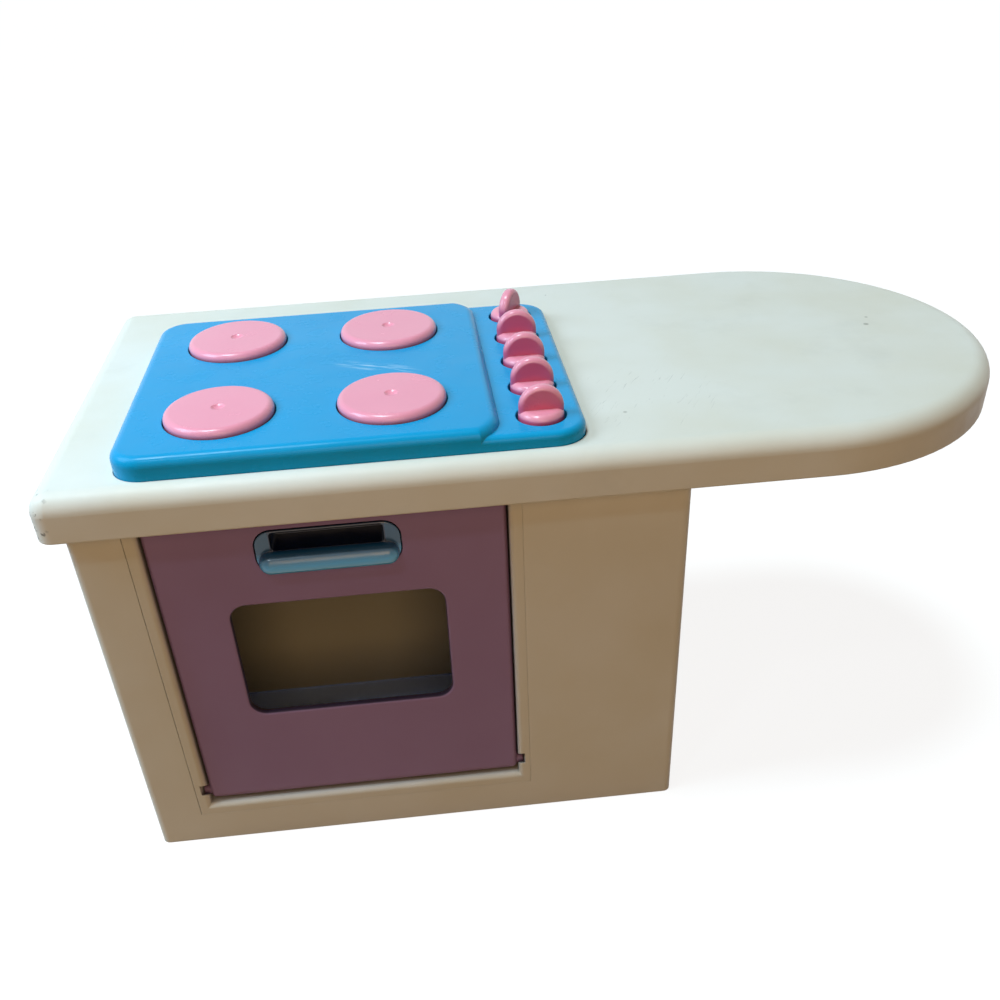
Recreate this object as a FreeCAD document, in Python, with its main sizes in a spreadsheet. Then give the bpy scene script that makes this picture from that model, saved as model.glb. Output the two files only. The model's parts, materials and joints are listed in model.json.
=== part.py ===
import FreeCAD, Part
import math
import operator
import os
import types

import Sketcher
from FreeCAD import Vector

# Driving dimensions, in millimetres, and shares of them. X runs to the right along the counter, the
# oven faces -Y, +Z is up, and the origin is in the middle of the cabinet's base.
SIZES = {
    # cabinet
    "cabinet_width": 210.0,
    "cabinet_depth": 152.8,
    "cabinet_height": 148.6,
    "cabinet_wall": 3.0,
    "cabinet_edge_round": 3.0,
    "base_thickness": 3.2,
    "plate_gap": 0.2,
    # self-tapping screws and the bosses that they bite into
    "screw_core_radius": 1.25,
    "screw_head_radius": 2.8,
    "screw_head_height": 1.5,
    "screw_head_round": 0.6,
    "screw_point": 1.5,
    "screw_bite": 7.0,
    "screw_recess": 0.3,
    "screw_hole_gap": 0.4,
    "pilot_gap": 0.05,
    "pilot_spare": 0.8,
    "boss_radius": 4.0,
    "base_boss_inset": 3.4,
    "base_boss_height": 12.0,
    # lugs under the counter
    "lug_reach": 5.0,
    "lug_radius": 5.0,
    "lug_thickness": 3.0,
    "lug_inset": 23.4,
    # counter
    "counter_thickness": 16.4,
    "counter_left_overhang": 6.0,
    "counter_overhang": 7.6,
    "counter_straight_reach": 44.8,
    "counter_wall": 3.0,
    "counter_skin": 3.0,
    "counter_bullnose": 6.6,
    "counter_corner_round": 5.6,
    "counter_lower_round": 0.6,
    "counter_inner_round": 2.0,
    "underside_thickness": 3.2,
    "underside_screw_inset": 18.0,
    # oven liner
    "oven_inset": 23.0,
    "opening_width": 123.85,
    "sill_height": 18.55,
    "cavity_depth": 67.4,
    "liner_wall": 2.0,
    "frame_side": 4.5,
    "frame_sill": 4.6,
    "frame_head": 2.4,
    "frame_top_gap": 0.3,
    "frame_depth": 10.0,
    "frame_seam": 0.18,
    "frame_snug": 0.04,
    "frame_round": 1.8,
    "flange_margin": 4.8,
    "flange_thickness": 2.0,
    "flange_gap": 0.1,
    "stop_drop": 3.3,
    "stop_thickness": 2.0,
    "stop_gap": 0.4,
    # rails that hold the liner's flange behind the cabinet's front wall
    "rail_wall": 2.0,
    "rail_grip": 2.5,
    "rail_gap": 0.2,
    "rail_foot": 18.0,
    "rail_top_gap": 11.5,
    # door and its hinge
    "door_side_gap": 0.5,
    "door_bottom_gap": 0.35,
    "door_top_gap": 1.3,
    "door_thickness": 9.0,
    "door_recess": 2.2,
    "door_skin": 2.6,
    "door_wall": 2.4,
    "door_edge_round": 2.0,
    "hinge_inset": 3.6,
    "hinge_rail_height": 11.0,
    "pin_radius": 2.2,
    "pin_length": 2.6,
    "pin_clearance": 0.08,
    "pin_end_gap": 0.4,
    "snap_neck": 4.0,
    "snap_rise": 4.5,
    "window_width": 76.1,
    "window_height_share": 0.396,
    "window_lift_share": 0.34,
    "window_round": 6.0,
    "window_edge_round": 1.1,
    # door handle
    "handle_width": 49.5,
    "handle_height": 16.9,
    "handle_drop": 3.4,
    "handle_lip": 0.6,
    "handle_corner": 6.3,
    "handle_seam": 0.35,
    "handle_proud": 0.4,
    "handle_edge_round": 0.8,
    "handle_flange": 1.8,
    "handle_flange_margin": 2.0,
    "handle_ear_reach": 9.0,
    "handle_ear_height": 9.0,
    "finger_width": 38.5,
    "finger_height": 7.2,
    "finger_depth": 11.0,
    "finger_round": 1.4,
    "cup_wall": 1.3,
    "bar_radius": 4.1,
    "bar_forward": 0.8,
    "bar_end_inset": 0.8,
    "stake_radius": 2.0,
    "stake_gap": 0.15,
    "stake_head_radius": 3.2,
    "stake_head_height": 1.2,
    # cooktop panel
    "cooktop_width": 155.0,
    "cooktop_depth": 122.5,
    "cooktop_left": 25.5,
    "cooktop_front": 6.8,
    "cooktop_corner": 11.0,
    "cooktop_wall": 2.5,
    "cooktop_skin": 2.5,
    "strip_width": 28.6,
    "strip_rise": 4.9,
    "strip_edge_round": 2.3,
    "hob_rise": 7.7,
    "hob_edge_round": 3.4,
    "step_corner": 14.0,
    "step_corner_reach": 12.2,
    "cutout_margin": 6.0,
    "cutout_corner": 8.0,
    "rebate_depth": 1.2,
    "rebate_gap": 0.2,
    "rib_gap": 0.3,
    "rib_wall": 2.0,
    "rib_drop": 6.0,
    "hook_reach": 1.2,
    "hook_height": 2.6,
    "hook_length": 12.0,
    "hook_spread": 80.0,
    "hook_gap": 0.15,
    # burners
    "burner_radius": 18.6,
    "burner_rise": 2.8,
    "burner_sink": 2.5,
    "burner_round": 2.4,
    "burner_gap": 0.35,
    "burner_shell": 2.0,
    "burner_middle_share": 0.4945,
    "burner_across_share": 0.4604,
    "burner_deep_share": 0.5224,
    "dimple_radius": 2.4,
    "dimple_depth": 0.9,
    "well_rim_round": 0.4,
    # snap posts under the burners and the knobs
    "post_radius": 2.5,
    "post_gap": 0.08,
    "barb_reach": 0.6,
    "barb_height": 2.4,
    "barb_gap": 0.2,
    "post_split": 1.0,
    # knobs
    "knob_pitch_share": 0.191,
    "knob_row_inset": 14.3,
    "knob_base_radius": 7.75,
    "knob_base_rise": 2.6,
    "knob_base_round": 2.4,
    "knob_well_radius": 8.5,
    "knob_well_depth": 3.0,
    "knob_well_wall": 1.0,
    "knob_lift": 0.2,
    "fin_radius": 7.6,
    "fin_height": 8.1,
    "fin_thickness": 4.2,
    "fin_round": 1.7,
    "rear_knob_turn_deg": 62.0,
    # how far every cut runs past what it cuts
    "overrun": 1.0,
}
KNOB_COUNT = 5
UNDERSIDE_SCREW_COUNT = 3
EDGE_MATCH = 0.01
OPERATIONS = {"+": operator.add, "-": operator.sub, "*": operator.mul, "/": operator.truediv}

doc = FreeCAD.newDocument("toy_stove")
sheet = doc.addObject("Spreadsheet::Sheet", "Sizes")
for row, (cell_name, cell_number) in enumerate(SIZES.items(), start=1):
    sheet.set(f"A{row}", cell_name)
    sheet.set(f"B{row}", str(cell_number))
    sheet.setAlias(f"B{row}", cell_name)
doc.recompute()


class Size:
    """A length, kept with the formula on the sheet's cells that gives it."""

    def __init__(self, number, formula):
        self.number = number
        self.formula = formula

    def __add__(self, other):
        return combined(self, "+", other)

    def __sub__(self, other):
        return combined(self, "-", other)

    def __mul__(self, other):
        return combined(self, "*", other)

    def __truediv__(self, other):
        return combined(self, "/", other)

    def __neg__(self):
        return Size(-self.number, f"-({self.formula})")

    def root(self):
        return Size(math.sqrt(self.number), f"sqrt({self.formula})")


def as_size(value):
    return value if isinstance(value, Size) else Size(float(value), repr(float(value)))


def combined(left, sign, right):
    right = as_size(right)
    number = OPERATIONS[sign](left.number, right.number)
    return Size(number, f"({left.formula} {sign} {right.formula})")


s = types.SimpleNamespace(**{name: Size(sheet.get(name), f"Sizes.{name}") for name in SIZES})


# Sketches

def origin_feature(body, role):
    return next(feature for feature in body.Origin.OriginFeatures if feature.Role == role)


def new_body(name):
    body = doc.addObject("PartDesign::Body", name)
    body.Label = name
    return body


def sketch_on(body, role, offset, what, shift=(0, 0)):
    """A sketch beside one of the body's own origin planes, offset along the plane's normal."""
    sketch = body.newObject("Sketcher::SketchObject", f"{body.Name}_{what}_sketch")
    sketch.AttachmentSupport = (origin_feature(body, role), [""])
    sketch.MapMode = "FlatFace"
    for axis, size in zip("xyz", (*shift, offset)):
        sketch.setExpression(f"AttachmentOffset.Base.{axis}", as_size(size).formula)
    return sketch


def fix(sketch, kind, geometry, point, size):
    """Ties a drawn point to the sketch's origin by one distance from the sheet."""
    index = sketch.addConstraint(Sketcher.Constraint(kind, -1, 1, geometry, point, size.number))
    sketch.setExpression(f"Constraints[{index}]", size.formula)


def flat(place):
    return Vector(place[0].number, place[1].number, 0)


def draw_outline(sketch, steps):
    """A closed outline, drawn anticlockwise. Each step is the point where a run starts, and a step of
    four values starts an arc about the centre that its last two give."""
    first = sketch.GeometryCount
    steps = [tuple(as_size(value) for value in step) for step in steps]
    followers = steps[1:] + steps[:1]
    for step, follower in zip(steps, followers):
        start = flat(step)
        end = flat(follower)
        if len(step) == 2:
            sketch.addGeometry(Part.LineSegment(start, end))
            continue
        centre = flat(step[2:])
        circle = Part.Circle(centre, Vector(0, 0, 1), (start - centre).Length)
        angles = [math.atan2(point.y - centre.y, point.x - centre.x) for point in (start, end)]
        sketch.addGeometry(Part.ArcOfCircle(circle, *angles))
    for index, (step, follower) in enumerate(zip(steps, followers)):
        run = first + index
        next_run = first + (index + 1) % len(steps)
        sketch.addConstraint(Sketcher.Constraint("Coincident", run, 2, next_run, 1))
        fix(sketch, "DistanceX", run, 1, step[0])
        fix(sketch, "DistanceY", run, 1, step[1])
        if len(step) == 2:
            continue
        chord = flat(follower) - flat(step)
        if abs(chord.x) > abs(chord.y):
            fix(sketch, "DistanceY", run, 3, step[3])
        else:
            fix(sketch, "DistanceX", run, 3, step[2])


def draw_rectangle(sketch, left, bottom, right, top):
    draw_outline(sketch, [(left, bottom), (right, bottom), (right, top), (left, top)])


def draw_rounded_rectangle(sketch, left, bottom, right, top, radius):
    draw_outline(sketch, [
        (left + radius, bottom),
        (right - radius, bottom, right - radius, bottom + radius),
        (right, bottom + radius),
        (right, top - radius, right - radius, top - radius),
        (right - radius, top),
        (left + radius, top, left + radius, top - radius),
        (left, top - radius),
        (left, bottom + radius, left + radius, bottom + radius),
    ])


def draw_circles(sketch, places, radius):
    for place in places:
        place = tuple(as_size(value) for value in place)
        circle = sketch.addGeometry(Part.Circle(flat(place), Vector(0, 0, 1), radius.number))
        fix(sketch, "DistanceX", circle, 3, place[0])
        fix(sketch, "DistanceY", circle, 3, place[1])
        index = sketch.addConstraint(Sketcher.Constraint("Radius", circle, radius.number))
        sketch.setExpression(f"Constraints[{index}]", radius.formula)


# Features

def add_pad(body, sketch, length, what, against_normal=False):
    pad = body.newObject("PartDesign::Pad", f"{body.Name}_{what}")
    pad.Profile = sketch
    pad.setExpression("Length", length.formula)
    pad.Reversed = against_normal
    doc.recompute()
    return pad


def add_pocket(body, sketch, depth, what, along_normal=False):
    volume = body.Tip.Shape.Volume
    pocket = body.newObject("PartDesign::Pocket", f"{body.Name}_{what}")
    pocket.Profile = sketch
    pocket.setExpression("Length", depth.formula)
    pocket.Reversed = along_normal
    doc.recompute()
    if not pocket.Shape.Volume < volume:
        raise ValueError(f"{pocket.Name} cuts nothing")
    return pocket


def add_turned(body, sketch, axis, what, kind="PartDesign::Revolution"):
    turned = body.newObject(kind, f"{body.Name}_{what}")
    turned.Profile = sketch
    turned.ReferenceAxis = (sketch, [axis])
    turned.Angle = 360
    doc.recompute()
    return turned


def add_fillet(body, radius, chosen, what):
    """Rounds those edges of the body that the test picks."""
    base = body.Tip
    names = [f"Edge{i}" for i, edge in enumerate(base.Shape.Edges, start=1) if chosen(edge.BoundBox)]
    if not names:
        raise ValueError(f"no edge found for {body.Name} {what}")
    fillet = body.newObject("PartDesign::Fillet", f"{body.Name}_{what}")
    fillet.Base = (base, names)
    fillet.setExpression("Radius", radius.formula)
    doc.recompute()
    return fillet


def lies_at(box, axis, place):
    """Whether an edge's box lies in the plane where one coordinate has the given size."""
    low = getattr(box, axis + "Min") - place.number
    high = getattr(box, axis + "Max") - place.number
    return abs(low) < EDGE_MATCH and abs(high) < EDGE_MATCH


def within(box, axis, low, high):
    """Whether an edge's box lies between two sizes along one axis."""
    return (getattr(box, axis + "Min") > low.number - EDGE_MATCH
            and getattr(box, axis + "Max") < high.number + EDGE_MATCH)


def corners(across, along):
    """The four places that mirror one place about the middle of the cabinet."""
    return [(across * x, along * y) for x in (-1, 1) for y in (-1, 1)]


# Places that several pieces share
half_width = s.cabinet_width / 2
half_depth = s.cabinet_depth / 2
inner_half_width = half_width - s.cabinet_wall
inner_half_depth = half_depth - s.cabinet_wall
counter_base = s.cabinet_height
counter_top = counter_base + s.counter_thickness
counter_left = -half_width - s.counter_left_overhang
counter_half = half_depth + s.counter_overhang
counter_round_middle = half_width + s.counter_straight_reach
screw_hole_radius = s.screw_core_radius + s.screw_hole_gap
pilot_radius = s.screw_core_radius + s.pilot_gap
pilot_depth = s.screw_bite + s.pilot_spare
head_seat_radius = s.screw_head_radius + s.screw_hole_gap
head_seat_depth = s.screw_head_height + s.screw_recess
base_screw_across = inner_half_width - s.base_boss_inset
base_screw_along = inner_half_depth - s.base_boss_inset
base_screw_places = corners(base_screw_across, base_screw_along)
lug_across = inner_half_width - s.lug_reach
lug_along = inner_half_depth - s.lug_inset
lug_places = corners(lug_across, lug_along)
underside_screw_circle = counter_half - s.underside_screw_inset
underside_screw_places = [
    (
        counter_round_middle + underside_screw_circle * math.cos(turn),
        underside_screw_circle * math.sin(turn),
    )
    for turn in (2 * math.pi * i / UNDERSIDE_SCREW_COUNT for i in range(UNDERSIDE_SCREW_COUNT))
]
opening_half = s.opening_width / 2
opening_left = -half_width + s.oven_inset
oven_middle = opening_left + opening_half
opening_right = oven_middle + opening_half
frame_top = s.cabinet_height - s.frame_top_gap
opening_top = frame_top - s.frame_head
frame_left = opening_left - s.frame_side
frame_right = opening_right + s.frame_side
frame_bottom = s.sill_height - s.frame_sill
flange_half = opening_half + s.frame_side + s.flange_margin
flange_front = inner_half_depth - s.flange_gap
door_front = half_depth - s.door_recess
door_left = opening_left + s.door_side_gap
door_right = opening_right - s.door_side_gap
door_bottom = s.sill_height + s.door_bottom_gap
door_top = opening_top - s.door_top_gap
hinge_depth = door_front - s.hinge_inset
hinge_height = door_bottom + s.hinge_inset
handle_left = oven_middle - s.handle_width / 2
handle_right = oven_middle + s.handle_width / 2
handle_top = door_top - s.handle_drop
handle_bottom = handle_top - s.handle_height
stake_height = handle_top - s.handle_height / 2
stake_places = [
    (handle_left - s.handle_ear_reach / 2, stake_height),
    (handle_right + s.handle_ear_reach / 2, stake_height),
]
cooktop_left = counter_left + s.cooktop_left
cooktop_right = cooktop_left + s.cooktop_width
cooktop_front = -counter_half + s.cooktop_front
cooktop_back = cooktop_front + s.cooktop_depth
cooktop_middle = (cooktop_front + cooktop_back) / 2
cooktop_foot = counter_top - s.rebate_depth
strip_top = counter_top + s.strip_rise
hob_top = counter_top + s.hob_rise
hob_floor = hob_top - s.burner_sink
knob_floor = strip_top - s.knob_well_depth
knob_row = cooktop_right - s.knob_row_inset
knob_pitch = s.cooktop_depth * s.knob_pitch_share
knob_places = [
    (knob_row, cooktop_middle + knob_pitch * (i - (KNOB_COUNT - 1) / 2)) for i in range(KNOB_COUNT)
]
hob_width = s.cooktop_width - s.strip_width
burner_middle = cooktop_left + hob_width * s.burner_middle_share
burner_spread = hob_width * s.burner_across_share
burner_reach = s.cooktop_depth * s.burner_deep_share
burner_places = {
    f"burner_{deep}_{side}": (
        burner_middle + burner_spread * x / 2,
        cooktop_middle + burner_reach * y / 2,
    )
    for deep, y in (("front", -1), ("rear", 1))
    for side, x in (("left", -1), ("right", 1))
}
barb_radius = s.post_radius + s.barb_reach
post_hole_radius = s.post_radius + s.post_gap


# Cabinet: a moulded shell, open below for the base panel and above for the counter

def build_cabinet():
    body = new_body("cabinet_shell")
    outline = sketch_on(body, "XY_Plane", 0, "outline")
    draw_rounded_rectangle(outline, -half_width, -half_depth, half_width, half_depth, s.cabinet_edge_round)
    add_pad(body, outline, s.cabinet_height, "block")
    hollow = sketch_on(body, "XY_Plane", 0, "hollow")
    draw_rectangle(hollow, -inner_half_width, -inner_half_depth, inner_half_width, inner_half_depth)
    add_pocket(body, hollow, s.cabinet_height + s.overrun, "hollow", along_normal=True)

    # the notch in the front wall that takes the oven liner's frame from above; the frame sits low and
    # to the right in it, so that the seam shows at the left
    notch = sketch_on(body, "XZ_Plane", half_depth + s.overrun, "notch")
    draw_rectangle(notch, frame_left - s.frame_seam, frame_bottom - s.frame_snug,
                   frame_right + s.frame_snug, s.cabinet_height + s.overrun)
    add_pocket(body, notch, s.overrun + s.cabinet_wall + s.overrun, "notch")

    # two rails of L section that hold the liner's flange to the wall
    rails = sketch_on(body, "XY_Plane", s.rail_foot, "rails")
    web_inside = flange_half + s.rail_gap
    web_outside = web_inside + s.rail_wall
    lip_inside = flange_half - s.rail_grip
    lip_front = -flange_front + s.flange_thickness + s.rail_gap
    lip_back = lip_front + s.rail_wall
    root = -half_depth + s.cabinet_wall / 2
    for side in (-1, 1):
        draw_outline(rails, [
            (oven_middle + web_outside * side, root),
            (oven_middle + web_outside * side, lip_back),
            (oven_middle + lip_inside * side, lip_back),
            (oven_middle + lip_inside * side, lip_front),
            (oven_middle + web_inside * side, lip_front),
            (oven_middle + web_inside * side, root),
        ])
    add_pad(body, rails, s.cabinet_height - s.rail_foot - s.rail_top_gap, "rails")

    # four lugs under the counter, one screw through each
    lugs = sketch_on(body, "XY_Plane", s.cabinet_height - s.lug_thickness, "lugs")
    lug_root = half_width - s.cabinet_wall / 2
    for y in (-lug_along, lug_along):
        draw_outline(lugs, [
            (lug_root, y + s.lug_radius),
            (lug_across, y + s.lug_radius, lug_across, y),
            (lug_across, y - s.lug_radius),
            (lug_root, y - s.lug_radius),
        ])
        draw_outline(lugs, [
            (-lug_root, y - s.lug_radius),
            (-lug_across, y - s.lug_radius, -lug_across, y),
            (-lug_across, y + s.lug_radius),
            (-lug_root, y + s.lug_radius),
        ])
    add_pad(body, lugs, s.lug_thickness, "lugs")
    lug_holes = sketch_on(body, "XY_Plane", s.cabinet_height, "lug_holes")
    draw_circles(lug_holes, lug_places, screw_hole_radius)
    add_pocket(body, lug_holes, s.lug_thickness + s.overrun, "lug_holes")

    # a boss in each lower corner for the base panel's screws
    bosses = sketch_on(body, "XY_Plane", s.base_thickness, "bosses")
    draw_circles(bosses, base_screw_places, s.boss_radius)
    add_pad(body, bosses, s.base_boss_height, "bosses")
    pilots = sketch_on(body, "XY_Plane", s.base_thickness, "pilots")
    draw_circles(pilots, base_screw_places, pilot_radius)
    add_pocket(body, pilots, pilot_depth, "pilots", along_normal=True)
    return body


# Base panel: a flat plate let into the bottom of the cabinet, with sunk screw heads

def build_base_panel():
    body = new_body("base_panel")
    outline = sketch_on(body, "XY_Plane", 0, "outline")
    across = inner_half_width - s.plate_gap
    along = inner_half_depth - s.plate_gap
    draw_rectangle(outline, -across, -along, across, along)
    add_pad(body, outline, s.base_thickness, "plate")
    drill_for_screws(body, base_screw_places, 0, s.base_thickness)
    return body


def drill_for_screws(body, places, height, thickness):
    """Screw holes up through a plate, with seats for the heads in its lower face."""
    holes = sketch_on(body, "XY_Plane", height, "holes")
    draw_circles(holes, places, screw_hole_radius)
    add_pocket(body, holes, thickness + s.overrun, "holes", along_normal=True)
    seats = sketch_on(body, "XY_Plane", height, "seats")
    draw_circles(seats, places, head_seat_radius)
    add_pocket(body, seats, head_seat_depth, "seats", along_normal=True)


# Oven liner: a five-sided box with a thick front frame that shows round the door

def build_liner():
    body = new_body("oven_liner")
    frame = sketch_on(body, "XZ_Plane", half_depth, "frame")
    draw_rectangle(frame, frame_left, frame_bottom, frame_right, frame_top)
    add_pad(body, frame, s.frame_depth, "frame", against_normal=True)
    flange = sketch_on(body, "XZ_Plane", flange_front, "flange")
    draw_rectangle(flange, oven_middle - flange_half, frame_bottom - s.flange_margin,
                   oven_middle + flange_half, frame_top)
    add_pad(body, flange, s.flange_thickness, "flange", against_normal=True)
    box = sketch_on(body, "XZ_Plane", half_depth - s.frame_depth / 2, "box")
    draw_rectangle(box, opening_left - s.liner_wall, s.sill_height - s.liner_wall,
                   opening_right + s.liner_wall, opening_top + s.liner_wall)
    add_pad(body, box, s.cavity_depth + s.liner_wall - s.frame_depth / 2, "box", against_normal=True)
    cavity = sketch_on(body, "XZ_Plane", half_depth, "cavity")
    draw_rectangle(cavity, opening_left, s.sill_height, opening_right, opening_top)
    add_pocket(body, cavity, s.cavity_depth, "cavity")

    def mouth(box):
        return (lies_at(box, "Y", -half_depth) and within(box, "X", opening_left, opening_right)
                and within(box, "Z", s.sill_height, opening_top))

    add_fillet(body, s.frame_round, mouth, "mouth_round")

    # the strip under the ceiling that the closed door's top edge comes against
    stop_front = door_front - s.door_thickness - s.stop_gap
    stop = sketch_on(body, "XZ_Plane", stop_front, "stop")
    draw_rectangle(stop, opening_left - s.liner_wall / 2, opening_top - s.stop_drop,
                   opening_right + s.liner_wall / 2, opening_top + s.liner_wall / 2)
    add_pad(body, stop, s.stop_thickness, "stop", against_normal=True)

    # hinge sockets: a bore in each jamb, and a narrower slot that rises from it to the front, through
    # which the pins snap home
    socket_start = opening_left - s.pin_length + s.door_side_gap - s.pin_end_gap
    socket_length = s.opening_width + (s.pin_length - s.door_side_gap + s.pin_end_gap) * 2
    bore = sketch_on(body, "YZ_Plane", socket_start, "bore")
    draw_circles(bore, [(-hinge_depth, hinge_height)], s.pin_radius + s.pin_clearance)
    add_pocket(body, bore, socket_length, "bore", along_normal=True)
    slot_run = half_depth - hinge_depth
    slot_length = (slot_run * slot_run + s.snap_rise * s.snap_rise).root()
    half_neck_ahead = s.snap_neck / 2 * s.snap_rise / slot_length
    half_neck_up = s.snap_neck / 2 * slot_run / slot_length
    slot_reach = slot_length + s.snap_neck
    reach_ahead = slot_reach * slot_run / slot_length
    reach_up = slot_reach * s.snap_rise / slot_length
    neck = sketch_on(body, "YZ_Plane", socket_start, "neck")
    draw_outline(neck, [
        (-hinge_depth - half_neck_ahead, hinge_height - half_neck_up),
        (-hinge_depth + half_neck_ahead, hinge_height + half_neck_up),
        (-hinge_depth + half_neck_ahead - reach_ahead, hinge_height + half_neck_up + reach_up),
        (-hinge_depth - half_neck_ahead - reach_ahead, hinge_height - half_neck_up + reach_up),
    ])
    add_pocket(body, neck, socket_length, "neck", along_normal=True)
    return body


# Oven door: a moulded tray whose lower front edge is rounded about the hinge pins at its ends

def build_door():
    body = new_body("oven_door")
    profile = sketch_on(body, "YZ_Plane", door_left, "profile")
    front = -door_front
    back = front + s.door_thickness
    draw_outline(profile, [
        (front, hinge_height, -hinge_depth, hinge_height),
        (-hinge_depth, door_bottom),
        (back, door_bottom),
        (back, door_top),
        (front, door_top),
    ])
    door_width = s.opening_width - s.door_side_gap * 2
    add_pad(body, profile, door_width, "slab")

    def rim(box):
        return lies_at(box, "X", door_left) or lies_at(box, "X", door_right) or lies_at(box, "Z", door_top)

    add_fillet(body, s.door_edge_round, rim, "rim_round")
    tray = sketch_on(body, "XZ_Plane", door_front - s.door_skin, "tray")
    draw_rectangle(tray, door_left + s.door_wall, door_bottom + s.hinge_rail_height,
                   door_right - s.door_wall, door_top - s.door_wall)
    add_pocket(body, tray, s.door_thickness, "tray")

    door_height = door_top - door_bottom
    window_bottom = door_bottom + door_height * s.window_lift_share
    window_top = window_bottom + door_height * s.window_height_share
    window = sketch_on(body, "XZ_Plane", door_front, "window")
    draw_rounded_rectangle(window, oven_middle - s.window_width / 2, window_bottom,
                           oven_middle + s.window_width / 2, window_top,
                           s.window_round)
    add_pocket(body, window, s.door_skin + s.overrun, "window")

    def window_edge(box):
        return (lies_at(box, "Y", front) and within(box, "Z", window_bottom, window_top)
                and within(box, "X", oven_middle - s.window_width / 2, oven_middle + s.window_width / 2))

    add_fillet(body, s.window_edge_round, window_edge, "window_round")
    hole = sketch_on(body, "XZ_Plane", door_front, "handle_hole")
    draw_rounded_rectangle(hole, handle_left - s.handle_seam, handle_bottom - s.handle_seam,
                           handle_right + s.handle_seam, handle_top + s.handle_seam,
                           s.handle_corner + s.handle_seam)
    add_pocket(body, hole, s.door_skin + s.overrun, "handle_hole")

    # two posts, melted over into heads, that hold the handle's ears
    skin_back = door_front - s.door_skin
    stake_length = s.handle_flange + s.stake_gap
    posts = sketch_on(body, "XZ_Plane", skin_back + s.door_skin / 2, "posts")
    draw_circles(posts, stake_places, s.stake_radius)
    add_pad(body, posts, s.door_skin / 2 + stake_length, "posts", against_normal=True)
    heads = sketch_on(body, "XZ_Plane", skin_back - stake_length, "heads")
    draw_circles(heads, stake_places, s.stake_head_radius)
    add_pad(body, heads, s.stake_head_height, "heads", against_normal=True)

    pins = sketch_on(body, "YZ_Plane", door_left - s.pin_length, "pins")
    draw_circles(pins, [(-hinge_depth, hinge_height)], s.pin_radius)
    add_pad(body, pins, door_width + s.pin_length * 2, "pins")
    return body


# Door handle: a cup let into the door from behind, with a rolled bar along its lower lip

def build_handle():
    body = new_body("door_handle")
    skin_back = door_front - s.door_skin
    face = door_front + s.handle_proud
    bezel = sketch_on(body, "XZ_Plane", face, "bezel")
    draw_rounded_rectangle(bezel, handle_left, handle_bottom, handle_right, handle_top, s.handle_corner)
    add_pad(body, bezel, s.handle_proud + s.door_skin, "bezel", against_normal=True)
    add_fillet(body, s.handle_edge_round, lambda box: lies_at(box, "Y", -face), "bezel_round")
    flange = sketch_on(body, "XZ_Plane", skin_back, "flange")
    ear_low = stake_height - s.handle_ear_height / 2
    ear_high = stake_height + s.handle_ear_height / 2
    ear_left = handle_left - s.handle_ear_reach
    ear_right = handle_right + s.handle_ear_reach
    flange_left = handle_left - s.handle_flange_margin
    flange_right = handle_right + s.handle_flange_margin
    flange_bottom = handle_bottom - s.handle_flange_margin
    draw_outline(flange, [
        (flange_left, flange_bottom),
        (flange_right, flange_bottom),
        (flange_right, ear_low),
        (ear_right, ear_low),
        (ear_right, ear_high),
        (flange_right, ear_high),
        (flange_right, handle_top),
        (flange_left, handle_top),
        (flange_left, ear_high),
        (ear_left, ear_high),
        (ear_left, ear_low),
        (flange_left, ear_low),
    ])
    add_pad(body, flange, s.handle_flange, "flange", against_normal=True)
    ear_holes = sketch_on(body, "XZ_Plane", skin_back, "ear_holes")
    draw_circles(ear_holes, stake_places, s.stake_radius + s.stake_gap)
    add_pocket(body, ear_holes, s.handle_flange + s.overrun, "ear_holes")

    # the cup behind the flange and the finger space in it
    finger_left = oven_middle - s.finger_width / 2
    finger_right = oven_middle + s.finger_width / 2
    finger_top = handle_top - s.handle_lip
    finger_bottom = finger_top - s.finger_height
    cup = sketch_on(body, "XZ_Plane", skin_back, "cup")
    draw_rounded_rectangle(cup, finger_left - s.cup_wall, finger_bottom - s.cup_wall,
                           finger_right + s.cup_wall, handle_top, s.finger_round + s.cup_wall / 2)
    cup_depth = s.finger_depth + s.cup_wall - s.handle_proud - s.door_skin
    add_pad(body, cup, cup_depth, "cup", against_normal=True)

    # the bar's top is level with the floor of the finger space
    bar_half = s.handle_width / 2 - s.bar_end_inset
    bar = sketch_on(body, "XZ_Plane", face + s.bar_forward, "bar",
                    shift=(oven_middle, finger_bottom - s.bar_radius))
    draw_outline(bar, [
        (-bar_half, 0),
        (bar_half, 0, bar_half - s.bar_radius, 0),
        (bar_half - s.bar_radius, s.bar_radius),
        (-bar_half + s.bar_radius, s.bar_radius, -bar_half + s.bar_radius, 0),
    ])
    add_turned(body, bar, "H_Axis", "bar")
    finger = sketch_on(body, "XZ_Plane", face, "finger")
    draw_rounded_rectangle(finger, finger_left, finger_bottom, finger_right, finger_top, s.finger_round)
    add_pocket(body, finger, s.finger_depth, "finger")
    return body


# Counter: a hollow moulding with a bullnose edge, square at the left and half-round at the right

def draw_counter_outline(sketch, inset, corner_radius):
    left = counter_left + inset
    front = -counter_half + inset
    back = -front
    draw_outline(sketch, [
        (left + corner_radius, front),
        (counter_round_middle, front, counter_round_middle, 0),
        (counter_round_middle, back),
        (left + corner_radius, back, left + corner_radius, back - corner_radius),
        (left, back - corner_radius),
        (left, front + corner_radius, left + corner_radius, front + corner_radius),
    ])


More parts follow.
